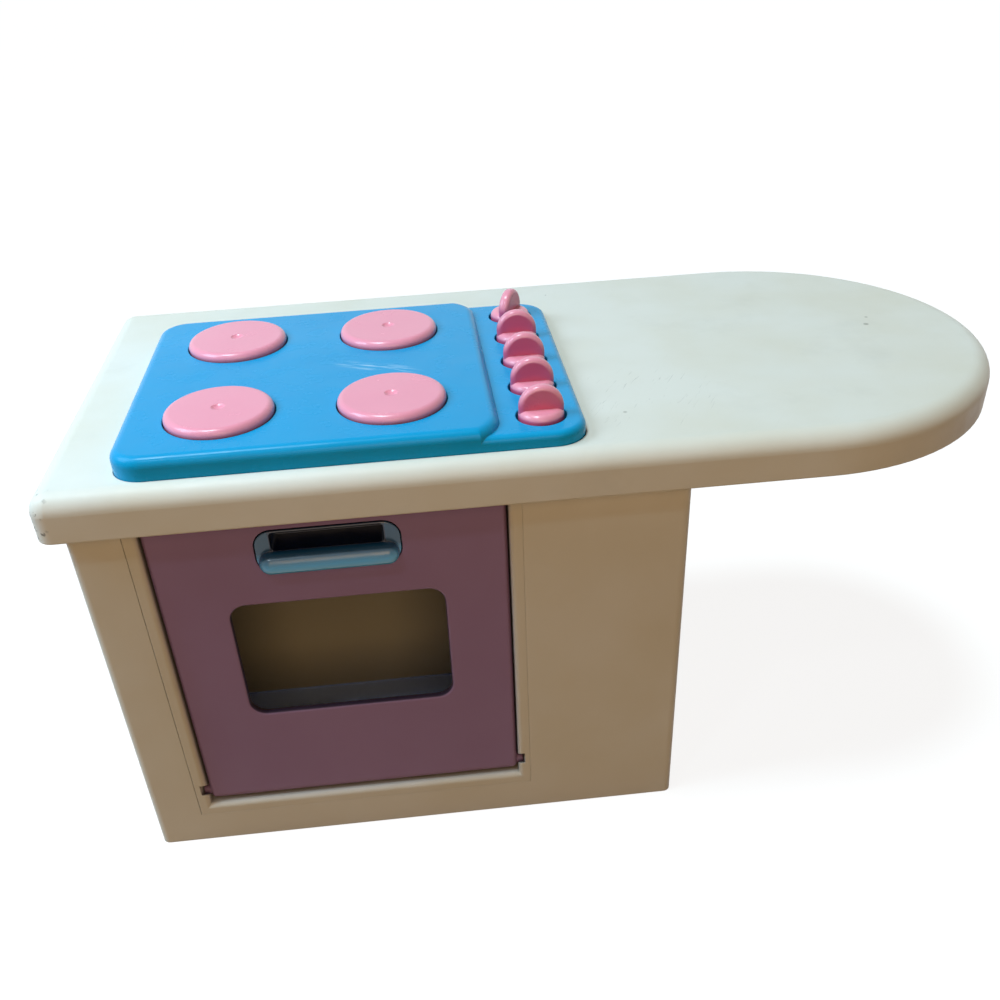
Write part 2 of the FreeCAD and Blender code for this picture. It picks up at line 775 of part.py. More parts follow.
def build_counter():
    body = new_body("countertop")
    outline = sketch_on(body, "XY_Plane", counter_base, "outline")
    draw_counter_outline(outline, as_size(0), s.counter_corner_round)
    add_pad(body, outline, s.counter_thickness, "slab")
    add_fillet(body, s.counter_bullnose, lambda box: lies_at(box, "Z", counter_top), "bullnose")
    add_fillet(body, s.counter_lower_round, lambda box: lies_at(box, "Z", counter_base), "lower_round")
    hollow = sketch_on(body, "XY_Plane", counter_base, "hollow")
    draw_counter_outline(hollow, s.counter_wall, s.counter_inner_round)
    add_pocket(body, hollow, s.counter_thickness - s.counter_skin, "hollow", along_normal=True)
    cutout = sketch_on(body, "XY_Plane", counter_top, "cutout")
    draw_rounded_rectangle(cutout, cooktop_left + s.cutout_margin, cooktop_front + s.cutout_margin,
                           cooktop_right - s.cutout_margin, cooktop_back - s.cutout_margin,
                           s.cutout_corner)
    add_pocket(body, cutout, s.counter_skin + s.overrun, "cutout")
    rebate = sketch_on(body, "XY_Plane", counter_top, "rebate")
    draw_rounded_rectangle(rebate, cooktop_left - s.rebate_gap, cooktop_front - s.rebate_gap,
                           cooktop_right + s.rebate_gap, cooktop_back + s.rebate_gap,
                           s.cooktop_corner + s.rebate_gap)
    add_pocket(body, rebate, s.rebate_depth, "rebate")

    # bosses over the cabinet's lugs and round the free end
    boss_foot = counter_base + s.underside_thickness
    bosses = sketch_on(body, "XY_Plane", boss_foot, "bosses")
    draw_circles(bosses, lug_places + underside_screw_places, s.boss_radius)
    boss_length = s.counter_thickness - s.underside_thickness - s.counter_skin / 2
    add_pad(body, bosses, boss_length, "bosses")
    pilots = sketch_on(body, "XY_Plane", boss_foot, "pilots")
    draw_circles(pilots, lug_places + underside_screw_places, pilot_radius)
    add_pocket(body, pilots, pilot_depth, "pilots", along_normal=True)
    return body


def build_underside():
    body = new_body("countertop_underside")
    outline = sketch_on(body, "XY_Plane", counter_base, "outline")
    draw_counter_outline(outline, s.counter_wall + s.plate_gap, s.counter_inner_round)
    add_pad(body, outline, s.underside_thickness, "plate")
    lug_holes = sketch_on(body, "XY_Plane", counter_base, "lug_holes")
    draw_circles(lug_holes, lug_places, screw_hole_radius)
    add_pocket(body, lug_holes, s.underside_thickness + s.overrun, "lug_holes", along_normal=True)
    drill_for_screws(body, underside_screw_places, counter_base, s.underside_thickness)
    return body


# Cooktop: a moulded panel on two levels, sunk in the counter's rebate and hooked into its cut-out

def build_cooktop():
    body = new_body("cooktop_panel")
    outline = sketch_on(body, "XY_Plane", cooktop_foot, "outline")
    draw_rounded_rectangle(outline, cooktop_left, cooktop_front, cooktop_right, cooktop_back,
                           s.cooktop_corner)
    add_pad(body, outline, s.rebate_depth + s.strip_rise, "strip")
    add_fillet(body, s.strip_edge_round, lambda box: lies_at(box, "Z", strip_top), "strip_round")

    # the raised hob, whose right-hand corners run out at the front and back walls
    hob = sketch_on(body, "XY_Plane", cooktop_foot, "hob")
    step = cooktop_right - s.strip_width
    step_middle = step - s.step_corner
    run_squared = s.step_corner * s.step_corner - s.step_corner_reach * s.step_corner_reach
    runout = step_middle + run_squared.root()
    bend_front = cooktop_front + s.step_corner_reach
    bend_back = cooktop_back - s.step_corner_reach
    left_bend = cooktop_left + s.cooktop_corner
    draw_outline(hob, [
        (left_bend, cooktop_front),
        (runout, cooktop_front, step_middle, bend_front),
        (step, bend_front),
        (step, bend_back, step_middle, bend_back),
        (runout, cooktop_back),
        (left_bend, cooktop_back, left_bend, cooktop_back - s.cooktop_corner),
        (cooktop_left, cooktop_back - s.cooktop_corner),
        (cooktop_left, cooktop_front + s.cooktop_corner, left_bend, cooktop_front + s.cooktop_corner),
    ])
    add_pad(body, hob, s.rebate_depth + s.hob_rise, "hob")
    add_fillet(body, s.hob_edge_round, lambda box: lies_at(box, "Z", hob_top), "hob_round")

    # the hollow underneath, with a cup left standing round each knob
    hollow = sketch_on(body, "XY_Plane", cooktop_foot, "hollow")
    draw_rounded_rectangle(hollow, cooktop_left + s.cooktop_wall, cooktop_front + s.cooktop_wall,
                           cooktop_right - s.cooktop_wall, cooktop_back - s.cooktop_wall,
                           s.cooktop_corner - s.cooktop_wall)
    draw_circles(hollow, knob_places, s.knob_well_radius + s.knob_well_wall)
    add_pocket(body, hollow, s.rebate_depth + s.strip_rise - s.cooktop_skin, "hollow", along_normal=True)

    # the locating rib that drops into the cut-out, and its hooks
    inset = s.cutout_margin + s.rib_gap
    rib = sketch_on(body, "XY_Plane", counter_top - s.rib_drop, "rib")
    draw_rounded_rectangle(rib, cooktop_left + inset, cooktop_front + inset,
                           cooktop_right - inset, cooktop_back - inset, s.cutout_corner)
    inner = inset + s.rib_wall
    draw_rounded_rectangle(rib, cooktop_left + inner, cooktop_front + inner,
                           cooktop_right - inner, cooktop_back - inner, s.cutout_corner - s.rib_wall)
    add_pad(body, rib, s.rib_drop + s.strip_rise - s.cooktop_skin / 2, "rib")
    hook_top = counter_top - s.counter_skin - s.hook_gap
    rib_front = cooktop_front + inset
    rib_back = cooktop_back - inset
    hook_middle = (cooktop_left + cooktop_right) / 2 - s.hook_length / 2
    for side, x in (("left", -s.hook_spread / 2), ("right", s.hook_spread / 2)):
        hooks = sketch_on(body, "YZ_Plane", hook_middle + x, f"hooks_{side}")
        draw_outline(hooks, [
            (rib_front - s.hook_reach, hook_top),
            (rib_front + s.rib_wall / 2, hook_top - s.hook_height),
            (rib_front + s.rib_wall / 2, hook_top),
        ])
        draw_outline(hooks, [
            (rib_back + s.hook_reach, hook_top),
            (rib_back - s.rib_wall / 2, hook_top),
            (rib_back - s.rib_wall / 2, hook_top - s.hook_height),
        ])
        add_pad(body, hooks, s.hook_length, f"hooks_{side}")

    # wells for the burners and the knobs, each with a hole for a snap post
    burner_wells = sketch_on(body, "XY_Plane", hob_top, "burner_wells")
    draw_circles(burner_wells, burner_places.values(), s.burner_radius + s.burner_gap)
    add_pocket(body, burner_wells, s.burner_sink, "burner_wells")
    knob_wells = sketch_on(body, "XY_Plane", strip_top, "knob_wells")
    draw_circles(knob_wells, knob_places, s.knob_well_radius)
    add_pocket(body, knob_wells, s.knob_well_depth, "knob_wells")

    def well_rim(box):
        level = lies_at(box, "Z", hob_top) or lies_at(box, "Z", strip_top)
        round_width = abs(box.XLength - box.YLength) < EDGE_MATCH
        return level and round_width and box.XLength < burner_spread.number

    add_fillet(body, s.well_rim_round, well_rim, "well_rims")
    post_holes = sketch_on(body, "XY_Plane", hob_top, "post_holes")
    draw_circles(post_holes, [*burner_places.values(), *knob_places], post_hole_radius)
    add_pocket(body, post_holes, s.hob_rise + s.rebate_depth + s.overrun, "post_holes")
    return body


# Burners: pressed-in discs, each a shell on a split post with a barb under the panel

def post_steps(root, barb_top):
    """The right-hand side of a snap post, from its tip to its root."""
    return [
        (0, barb_top - s.barb_height),
        (s.post_radius - s.barb_reach, barb_top - s.barb_height),
        (barb_radius, barb_top),
        (s.post_radius, barb_top),
        (s.post_radius, root),
    ]


def split_post(body, barb_top, depth):
    """The slot that lets the two halves of a post close as it is pushed in."""
    slot = sketch_on(body, "XY_Plane", barb_top - s.barb_height, "slot")
    slot_reach = barb_radius + s.overrun
    draw_rectangle(slot, -s.post_split / 2, -slot_reach, s.post_split / 2, slot_reach)
    add_pocket(body, slot, s.barb_height + depth, "slot", along_normal=True)


def place_body(body, place, height, turn=0):
    """Stands a piece, modelled about its own axis, at its place on the panel."""
    body.Placement = FreeCAD.Placement(Vector(0, 0, 0), FreeCAD.Rotation(Vector(0, 0, 1), turn))
    for axis, size in zip("xyz", (*place, height)):
        body.setExpression(f"Placement.Base.{axis}", size.formula)


def build_burner(name, place):
    body = new_body(name)
    top = s.burner_sink + s.burner_rise
    ceiling = top - s.burner_shell
    inner_radius = s.burner_radius - s.burner_shell
    floor = s.hob_rise - s.burner_sink - s.strip_rise + s.cooktop_skin
    barb_top = -floor - s.barb_gap
    profile = sketch_on(body, "XZ_Plane", 0, "profile")
    draw_outline(profile, [
        *post_steps(ceiling, barb_top),
        (inner_radius, ceiling),
        (inner_radius, 0),
        (s.burner_radius, 0),
        (s.burner_radius, top - s.burner_round, s.burner_radius - s.burner_round, top - s.burner_round),
        (s.burner_radius - s.burner_round, top),
        (0, top),
    ])
    add_turned(body, profile, "V_Axis", "disc")
    dimple = sketch_on(body, "XZ_Plane", 0, "dimple")
    bowl_radius = (s.dimple_radius * s.dimple_radius / s.dimple_depth + s.dimple_depth) / 2
    draw_outline(dimple, [
        (0, top - s.dimple_depth, 0, top - s.dimple_depth + bowl_radius),
        (s.dimple_radius, top),
        (0, top),
    ])
    add_turned(body, dimple, "V_Axis", "dimple", kind="PartDesign::Groove")
    split_post(body, barb_top, floor)
    place_body(body, place, hob_floor)
    return body


# Knobs: a domed base with a half-round fin across it, turning on a split post

def build_knob(number, place, turn):
    body = new_body(f"knob_{number}")
    top = s.knob_well_depth + s.knob_base_rise
    fin = sketch_on(body, "XZ_Plane", s.fin_thickness / 2, "fin")
    fin_foot = top - s.knob_base_round
    fin_middle = top + s.fin_height - s.fin_radius
    draw_outline(fin, [
        (-s.fin_radius, fin_foot),
        (s.fin_radius, fin_foot),
        (s.fin_radius, fin_middle, 0, fin_middle),
        (-s.fin_radius, fin_middle),
    ])
    add_pad(body, fin, s.fin_thickness, "fin", against_normal=True)

    def fin_edge(box):
        on_face = lies_at(box, "Y", -s.fin_thickness / 2) or lies_at(box, "Y", s.fin_thickness / 2)
        return on_face and not lies_at(box, "Z", fin_foot)

    add_fillet(body, s.fin_round, fin_edge, "fin_round")
    floor = s.rebate_depth + s.strip_rise - s.knob_well_depth
    barb_top = -floor - s.barb_gap
    base = sketch_on(body, "XZ_Plane", 0, "base")
    dome = s.knob_base_radius - s.knob_base_round
    draw_outline(base, [
        *post_steps(s.knob_lift, barb_top),
        (s.knob_base_radius, s.knob_lift),
        (s.knob_base_radius, fin_foot, dome, fin_foot),
        (dome, top),
        (0, top),
    ])
    add_turned(body, base, "V_Axis", "base")
    split_post(body, barb_top, floor)
    place_body(body, place, knob_floor, turn)
    return body


# Screws: one node for each group, its screws separate solids, all driven upwards

def screw_steps(grip):
    """Half the outline of a pan-head screw whose head bears at height zero."""
    point = grip + s.screw_bite
    return [
        (0, -s.screw_head_height),
        (s.screw_head_radius - s.screw_head_round, -s.screw_head_height,
         s.screw_head_radius - s.screw_head_round, -s.screw_head_height + s.screw_head_round),
        (s.screw_head_radius, -s.screw_head_height + s.screw_head_round),
        (s.screw_head_radius, 0),
        (s.screw_core_radius, 0),
        (s.screw_core_radius, point - s.screw_point),
        (0, point),
    ]


def build_screw_square(name, across, along, seat, grip):
    """Four screws at the corners of a rectangle about the cabinet's middle."""
    body = new_body(name)
    profile = sketch_on(body, "XZ_Plane", along, "profile", shift=(-across, seat))
    draw_outline(profile, screw_steps(grip))
    screw = add_turned(body, profile, "V_Axis", "screw")
    copies = body.newObject("PartDesign::MultiTransform", f"{name}_copies")
    copies.Originals = [screw]
    rows = []
    for role, spacing in (("X_Axis", across * 2), ("Y_Axis", along * 2)):
        row = body.newObject("PartDesign::LinearPattern", f"{name}_{role}_row")
        row.Direction = (origin_feature(body, role), [""])
        row.setExpression("Length", spacing.formula)
        row.Occurrences = 2
        rows.append(row)
    copies.Transformations = rows
    body.Tip = copies
    doc.recompute()
    return body


def build_screw_ring(name, radius, seat, grip):
    """Screws on a circle about the middle of the counter's round end."""
    body = new_body(name)
    profile = sketch_on(body, "XZ_Plane", 0, "profile", shift=(radius, 0))
    draw_outline(profile, screw_steps(grip))
    screw = add_turned(body, profile, "V_Axis", "screw")
    ring = body.newObject("PartDesign::PolarPattern", f"{name}_ring")
    ring.Originals = [screw]
    ring.Axis = (origin_feature(body, "Z_Axis"), [""])
    ring.Angle = 360
    ring.Occurrences = UNDERSIDE_SCREW_COUNT
    body.Tip = ring
    place_body(body, (counter_round_middle, as_size(0)), seat)
    doc.recompute()
    return body


parts = [
    build_cabinet(),
    build_base_panel(),
    build_liner(),
    build_door(),
    build_handle(),
    build_counter(),
    build_underside(),
    build_cooktop(),
]
for burner_name, burner_place in burner_places.items():
    parts.append(build_burner(burner_name, burner_place))
for knob_number, knob_place in enumerate(knob_places, start=1):
    knob_turn = s.rear_knob_turn_deg.number if knob_number == KNOB_COUNT else 0
    parts.append(build_knob(knob_number, knob_place, knob_turn))
parts.append(build_screw_square(
    "base_screws", base_screw_across, base_screw_along,
    head_seat_depth, s.base_thickness - head_seat_depth,
))
parts.append(build_screw_square(
    "counter_screws", lug_across, lug_along,
    s.cabinet_height - s.lug_thickness, s.lug_thickness + s.underside_thickness,
))
parts.append(build_screw_ring(
    "underside_screws", underside_screw_circle,
    counter_base + head_seat_depth, s.underside_thickness - head_seat_depth,
))
doc.recompute()

for item in doc.Objects:
    if "Invalid" in item.State or "Error" in item.State:
        raise ValueError(f"{item.Label} failed to build")
for part in parts:
    if part.Shape.isNull() or not part.Shape.isValid():
        raise ValueError(f"{part.Label} has no valid shape")
os.makedirs("parts", exist_ok=True)
for part in parts:
    part.Shape.exportStep(f"parts/{part.Label}.step")
    print(part.Label, len(part.Shape.Solids), round(part.Shape.Volume / 1000, 2))
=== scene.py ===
import json
import math

import bmesh
import bpy
from mathutils import Matrix, Vector


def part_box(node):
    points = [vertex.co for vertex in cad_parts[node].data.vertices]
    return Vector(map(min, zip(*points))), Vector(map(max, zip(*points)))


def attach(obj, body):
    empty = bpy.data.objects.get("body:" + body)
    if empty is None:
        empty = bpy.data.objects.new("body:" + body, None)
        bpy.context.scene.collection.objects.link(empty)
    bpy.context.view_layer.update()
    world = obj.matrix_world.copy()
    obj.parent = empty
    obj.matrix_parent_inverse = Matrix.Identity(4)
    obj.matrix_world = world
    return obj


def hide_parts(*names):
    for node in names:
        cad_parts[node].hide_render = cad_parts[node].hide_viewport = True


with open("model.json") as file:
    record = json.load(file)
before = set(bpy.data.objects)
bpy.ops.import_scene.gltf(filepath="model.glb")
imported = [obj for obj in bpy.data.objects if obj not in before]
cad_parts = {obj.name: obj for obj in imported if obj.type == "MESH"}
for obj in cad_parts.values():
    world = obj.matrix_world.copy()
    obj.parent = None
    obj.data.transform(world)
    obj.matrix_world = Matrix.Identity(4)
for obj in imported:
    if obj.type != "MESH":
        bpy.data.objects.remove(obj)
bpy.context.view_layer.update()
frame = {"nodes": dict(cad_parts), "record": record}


# The cabinet is the shell that everything else is fixed to. It is a thin-walled box moulded in ivory
# ABS with softly rounded upright edges, open below for its base and above for the counter.

def linear(code):
    """An sRGB hex colour as linear red, green, blue and alpha."""
    shares = [int(code[i:i + 2], 16) / 255 for i in (1, 3, 5)]
    return (*[c / 12.92 if c <= 0.04045 else ((c + 0.055) / 1.055) ** 2.4 for c in shares], 1.0)


def add(tree, kind, inputs=(), **settings):
    """Adds a node. Settings are its properties. Inputs are its sockets, each with a value or with the
    socket that feeds it."""
    node = tree.nodes.new(kind)
    for name, value in settings.items():
        setattr(node, name, value)
    for name, value in dict(inputs).items():
        if isinstance(value, bpy.types.NodeSocket):
            tree.links.new(value, node.inputs[name])
        else:
            node.inputs[name].default_value = value
    return node


def per_metre(size_mm):
    """The texture scale that gives features of about this size."""
    return 1000 / size_mm


def moulded_abs(name, colour, aged, rubbed, soil_and_shade, soil_and_shade_share, soil_and_shade_mm, roughness, shine, cloud_mm,
                speck_mm):
    """Injection-moulded ABS. The eye sees an even colour that has aged in soft clouds, a gloss made
    uneven by handling over faint flow marks and long sink waves, paler rubbed edges, a few specks of
    dirt, and a darker tone in the inner corners that is partly dirt and partly painted shade."""
    material = bpy.data.materials.new(name)
    material.use_nodes = True
    tree = material.node_tree
    tree.nodes.clear()
    place = add(tree, "ShaderNodeTexCoord").outputs["Object"]

    # the colour, aged in clouds, darker where the surface is shut in by its neighbours: painted shade, with
    # dirt that has settled there
    cloud = add(tree, "ShaderNodeTexNoise", {"Vector": place, "Scale": per_metre(cloud_mm), "Detail": 4.0})
    cloud_share = add(tree, "ShaderNodeMapRange", {
        "Value": cloud.outputs["Fac"], "From Min": 0.4, "From Max": 0.7, "To Max": 0.6})
    tone = add(tree, "ShaderNodeMix", {
        "Factor": cloud_share.outputs["Result"], "A": linear(colour), "B": linear(aged)}, data_type="RGBA")
    corner = add(tree, "ShaderNodeAmbientOcclusion", {"Distance": soil_and_shade_mm / 1000}, samples=8)
    corner_share = add(tree, "ShaderNodeMapRange", {
        "Value": corner.outputs["AO"], "From Min": 0.25, "From Max": 0.8,
        "To Min": soil_and_shade_share, "To Max": 0.0})
    tone = add(tree, "ShaderNodeMix", {
        "Factor": corner_share.outputs["Result"], "A": tone.outputs["Result"], "B": linear(soil_and_shade)},
        data_type="RGBA")

    # edges, found where a rounded-off normal leaves the surface's own, are rubbed in 9 mm patches
    handling = add(tree, "ShaderNodeTexNoise", {"Vector": place, "Scale": per_metre(9), "Detail": 6.0})
    soft_edge = add(tree, "ShaderNodeBevel", {"Radius": 0.00035}, samples=6)
    surface = add(tree, "ShaderNodeNewGeometry")
    agreement = add(tree, "ShaderNodeVectorMath", {
        0: soft_edge.outputs["Normal"], 1: surface.outputs["Normal"]}, operation="DOT_PRODUCT")
    edge = add(tree, "ShaderNodeMapRange", {
        "Value": agreement.outputs["Value"], "From Min": 0.985, "From Max": 0.86})
    patch = add(tree, "ShaderNodeMapRange", {
        "Value": handling.outputs["Fac"], "From Min": 0.42, "From Max": 0.62, "To Max": 0.75})
    rub = add(tree, "ShaderNodeMath", {0: edge.outputs["Result"], 1: patch.outputs["Result"]},
              operation="MULTIPLY")
    tone = add(tree, "ShaderNodeMix", {
        "Factor": rub.outputs["Value"], "A": tone.outputs["Result"], "B": linear(rubbed)}, data_type="RGBA")

    # specks of dirt about 0.3 mm across, drawn at 0.6 mm so that they show
    dirt = add(tree, "ShaderNodeTexVoronoi", {"Vector": place, "Scale": per_metre(speck_mm)})
    speck = add(tree, "ShaderNodeMapRange", {
        "Value": dirt.outputs["Distance"], "From Min": 0.24 / speck_mm, "From Max": 0.36 / speck_mm,
        "To Min": 0.7, "To Max": 0.0})
    tone = add(tree, "ShaderNodeMix", {
        "Factor": speck.outputs["Result"], "A": tone.outputs["Result"], "B": linear("#4A4036")},
        data_type="RGBA")

    # gloss dulled by the same handling, on sink waves of 24 mm and flow marks of about 2 mm
    gloss = add(tree, "ShaderNodeMapRange", {
        "Value": handling.outputs["Fac"], "From Min": 0.3, "From Max": 0.7,
        "To Min": roughness - 0.05, "To Max": roughness + 0.07})
    flow = add(tree, "ShaderNodeTexNoise", {"Vector": place, "Scale": per_metre(2.2), "Detail": 3.0})
    sink = add(tree, "ShaderNodeTexNoise", {"Vector": place, "Scale": per_metre(24), "Detail": 1.0})
    waves = add(tree, "ShaderNodeBump", {
        "Strength": 0.3, "Distance": 0.0012, "Height": sink.outputs["Fac"],
        "Normal": soft_edge.outputs["Normal"]})
    skin = add(tree, "ShaderNodeBump", {
        "Strength": 0.1, "Distance": 0.0002, "Height": flow.outputs["Fac"],
        "Normal": waves.outputs["Normal"]})
    shader = add(tree, "ShaderNodeBsdfPrincipled", {
        "Base Color": tone.outputs["Result"], "Roughness": gloss.outputs["Result"],
        "Normal": skin.outputs["Normal"], "IOR": 1.53, "Specular IOR Level": shine})
    add(tree, "ShaderNodeOutputMaterial", {"Surface": shader.outputs["BSDF"]})
    return material


def dress(material, *names):
    """Gives CAD nodes their finish."""
    for name in names:
        slots = frame["nodes"][name].data.materials
        slots.clear()
        slots.append(material)


# Ivory ABS from a satin mould: a warm off-white with a soft gloss, yellower where it has aged
ivory_tones = ("#E9E5DA", "#E0D8C4", "#F4F2EA")
ivory = moulded_abs("ivory_abs_moulded", *ivory_tones, soil_and_shade="#5A5040", soil_and_shade_share=0.25, soil_and_shade_mm=2,
                    roughness=0.42, shine=0.2, cloud_mm=55, speck_mm=27)
dress(ivory, "cabinet_shell")


# The base panel is a flat plate of the same ivory ABS let into the bottom of the cabinet. Four zinc-plated
# self-tapping screws with pan heads and cross recesses hold it, their heads sunk in counterbores.

dress(ivory, "base_panel")

# Zinc plating on turned and rolled steel: a cool grey metal, a little dull, with a cloudy bloom
zinc = bpy.data.materials.new("zinc_plated_steel")
zinc.use_nodes = True
tree = zinc.node_tree
place = add(tree, "ShaderNodeTexCoord").outputs["Object"]
bloom = add(tree, "ShaderNodeTexNoise", {"Vector": place, "Scale": per_metre(1.4), "Detail": 5.0})
bloom_share = add(tree, "ShaderNodeMapRange", {
    "Value": bloom.outputs["Fac"], "From Min": 0.38, "From Max": 0.66})
plating = add(tree, "ShaderNodeMix", {
    "Factor": bloom_share.outputs["Result"], "A": linear("#C4C7CA"), "B": linear("#9DA0A0")},
    data_type="RGBA")
dullness = add(tree, "ShaderNodeMapRange", {"Value": bloom.outputs["Fac"], "To Min": 0.24, "To Max": 0.5})
tool_marks = add(tree, "ShaderNodeTexNoise", {"Vector": place, "Scale": per_metre(0.25), "Detail": 2.0})
metal_skin = add(tree, "ShaderNodeBump", {
    "Strength": 0.2, "Distance": 0.00005, "Height": tool_marks.outputs["Fac"]})
shader = tree.nodes["Principled BSDF"]
shader.inputs["Metallic"].default_value = 1.0
tree.links.new(plating.outputs["Result"], shader.inputs["Base Color"])
tree.links.new(dullness.outputs["Result"], shader.inputs["Roughness"])
tree.links.new(metal_skin.outputs["Normal"], shader.inputs["Normal"])

HEAD_RADIUS = 0.0028
HEAD_HEIGHT = 0.0015
HEAD_FLAT = 0.7          # share of the head's radius that is flat on top
HEAD_ROUNDING = 0.6      # share of its height that the rounding takes
ROUNDING_STEPS = 5
CORE_RADIUS = 0.00105
THREAD_DEPTH = 0.0002
THREAD_PITCH = 0.0011
STEPS_PER_PITCH = 6
POINT_LENGTH = 0.0015
AROUND = 32
RECESS = (HEAD_RADIUS * 1.15, HEAD_RADIUS * 0.28, HEAD_HEIGHT * 1.5)
RECESS_TAPER = (0.45, 0.6)


def screw_mesh(name, length):
    """A pan-head tapping screw with its head's underside at height zero and its point up: a lathe grid
    whose shank swells and sinks along a helix, with a cross recess cut into the head."""
    shank = length - POINT_LENGTH
    profile = [(HEAD_RADIUS * 0.3, -HEAD_HEIGHT), (HEAD_RADIUS * HEAD_FLAT, -HEAD_HEIGHT)]
    for step in range(1, ROUNDING_STEPS + 1):
        bend = math.radians(90 * step / ROUNDING_STEPS)
        profile.append((HEAD_RADIUS * (HEAD_FLAT + (1 - HEAD_FLAT) * math.sin(bend)),
                        -HEAD_HEIGHT + HEAD_HEIGHT * HEAD_ROUNDING * (1 - math.cos(bend))))
    profile += [(HEAD_RADIUS, 0.0), (CORE_RADIUS, 0.0)]
    steps = round(shank / THREAD_PITCH) * STEPS_PER_PITCH
    for step in range(1, steps):
        profile.append((CORE_RADIUS, shank * step / steps))
    profile += [(CORE_RADIUS, shank), (CORE_RADIUS * 0.5, length - POINT_LENGTH * 0.4)]

    shell = bmesh.new()
    rings = []
    for radius, height in profile:
        ring = []
        for i in range(AROUND):
            turn = 2 * math.pi * i / AROUND
            swell = 0.0
            if 0 < height < shank:
                along = (height / THREAD_PITCH - i / AROUND) % 1
                swell = THREAD_DEPTH * max(0.0, 1 - abs(along - 0.5) * 3)
            ring.append(shell.verts.new(
                ((radius + swell) * math.cos(turn), (radius + swell) * math.sin(turn), height)))
        rings.append(ring)
    crown = shell.verts.new((0, 0, -HEAD_HEIGHT))
    point = shell.verts.new((0, 0, length))
    for i in range(AROUND):
        j = (i + 1) % AROUND
        shell.faces.new((crown, rings[0][j], rings[0][i]))
        shell.faces.new((rings[-1][i], rings[-1][j], point))
        for low, high in zip(rings, rings[1:]):
            shell.faces.new((low[i], low[j], high[j], high[i]))
    mesh = bpy.data.meshes.new(name)
    shell.to_mesh(mesh)
    shell.free()

    # the recess is cut by two crossed blades that narrow towards their tips
    blade = bmesh.new()
    for turn in (0, 90):
        slot = bmesh.ops.create_cube(blade, size=1.0)["verts"]
        bmesh.ops.scale(blade, vec=RECESS, verts=slot)
        for vert in slot:
            if vert.co.z > 0:
                vert.co.x *= RECESS_TAPER[0]
                vert.co.y *= RECESS_TAPER[1]
        bmesh.ops.rotate(blade, verts=slot, matrix=Matrix.Rotation(math.radians(turn), 3, "Z"))
    bmesh.ops.translate(blade, verts=blade.verts, vec=(0, 0, -HEAD_HEIGHT))
    cutter_mesh = bpy.data.meshes.new(name + "_recess")
    blade.to_mesh(cutter_mesh)
    blade.free()
    blank = bpy.data.objects.new(name + "_blank", mesh)
    cutter = bpy.data.objects.new(name + "_cutter", cutter_mesh)
    for piece in (blank, cutter):
        bpy.context.scene.collection.objects.link(piece)
    recess = blank.modifiers.new("recess", "BOOLEAN")
    recess.operation = "DIFFERENCE"
    recess.use_self = True
    recess.object = cutter
    cut = bpy.data.meshes.new_from_object(blank.evaluated_get(bpy.context.evaluated_depsgraph_get()))
    bpy.data.objects.remove(blank)
    bpy.data.objects.remove(cutter)
    return cut


def drive_screws(node, length, seat, places):
    """One object of all the screws in a group, each turned by its own amount as they are driven home."""
    one = screw_mesh(node + "_one", length)
    group = bmesh.new()
    for number, (x, y) in enumerate(places):
        first = len(group.verts)
        group.from_mesh(one)
        group.verts.ensure_lookup_table()
        fresh = group.verts[first:]
        driven = math.radians(37 * number + 11)
        bmesh.ops.rotate(group, verts=fresh, matrix=Matrix.Rotation(driven, 3, "Z"))
        bmesh.ops.translate(group, verts=fresh, vec=(x, y, seat))
    mesh = bpy.data.meshes.new(node + "_turned")
    group.to_mesh(mesh)
    group.free()
    mesh.materials.append(zinc)
    mesh.set_sharp_from_angle(angle=math.radians(30))
    screws = bpy.data.objects.new(node + "_turned", mesh)
    bpy.context.scene.collection.objects.link(screws)
    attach(screws, "stove")
    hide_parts(node)


drive_screws("base_screws", length=0.0084, seat=0.0018,
             places=[(x, y) for x in (-0.0986, 0.0986) for y in (-0.07, 0.07)])


# The oven liner is a five-sided box moulded in ivory ABS. Its thick front frame shows round the door
# and has the sockets for the hinge pins. Its corners carry dirt and painted shade, the cavity is painted
# darker as shade over dusty plastic, and its floor is painted blue-grey for cool light.

def worn_parts(material):
    """What a section adds its own wear to: a finish's node tree, shader, coordinates and colour so far."""
    tree = material.node_tree
    shader = next(node for node in tree.nodes if node.type == "BSDF_PRINCIPLED")
    place = next(node for node in tree.nodes if node.type == "TEX_COORD").outputs["Object"]
    return tree, shader, place, shader.inputs["Base Color"].links[0].from_socket


def opening(name):
    """The lowest and highest corners of the record's opening of this name."""
    spaces = frame["record"]["physics"]["openings"]
    return next(space for space in spaces if space["name"] == name)["box_m"]


# Moulded ivory ABS under years of dirt, with painted shade: duller than the cabinet, painted darker
# grey-brown within, painted blue-grey on the floor as cool light
shaded_dusty_ivory = moulded_abs("ivory_abs_moulded_dusty_and_shaded", *ivory_tones, soil_and_shade="#3A2A1C", soil_and_shade_share=0.6,
                          soil_and_shade_mm=3, roughness=0.5, shine=0.15, cloud_mm=55, speck_mm=27)
tree, shader, place, tone = worn_parts(shaded_dusty_ivory)
cavity_front, cavity_floor = opening("oven_cavity")[0][1:]
axes = add(tree, "ShaderNodeSeparateXYZ", {"Vector": place})
behind_door = add(tree, "ShaderNodeMapRange", {
    "Value": axes.outputs["Y"], "From Min": cavity_front - 0.002, "From Max": cavity_front + 0.002})
on_floor = add(tree, "ShaderNodeMapRange", {
    "Value": axes.outputs["Z"], "From Min": cavity_floor, "From Max": cavity_floor + 0.0008,
    "To Min": 1.0, "To Max": 0.0})
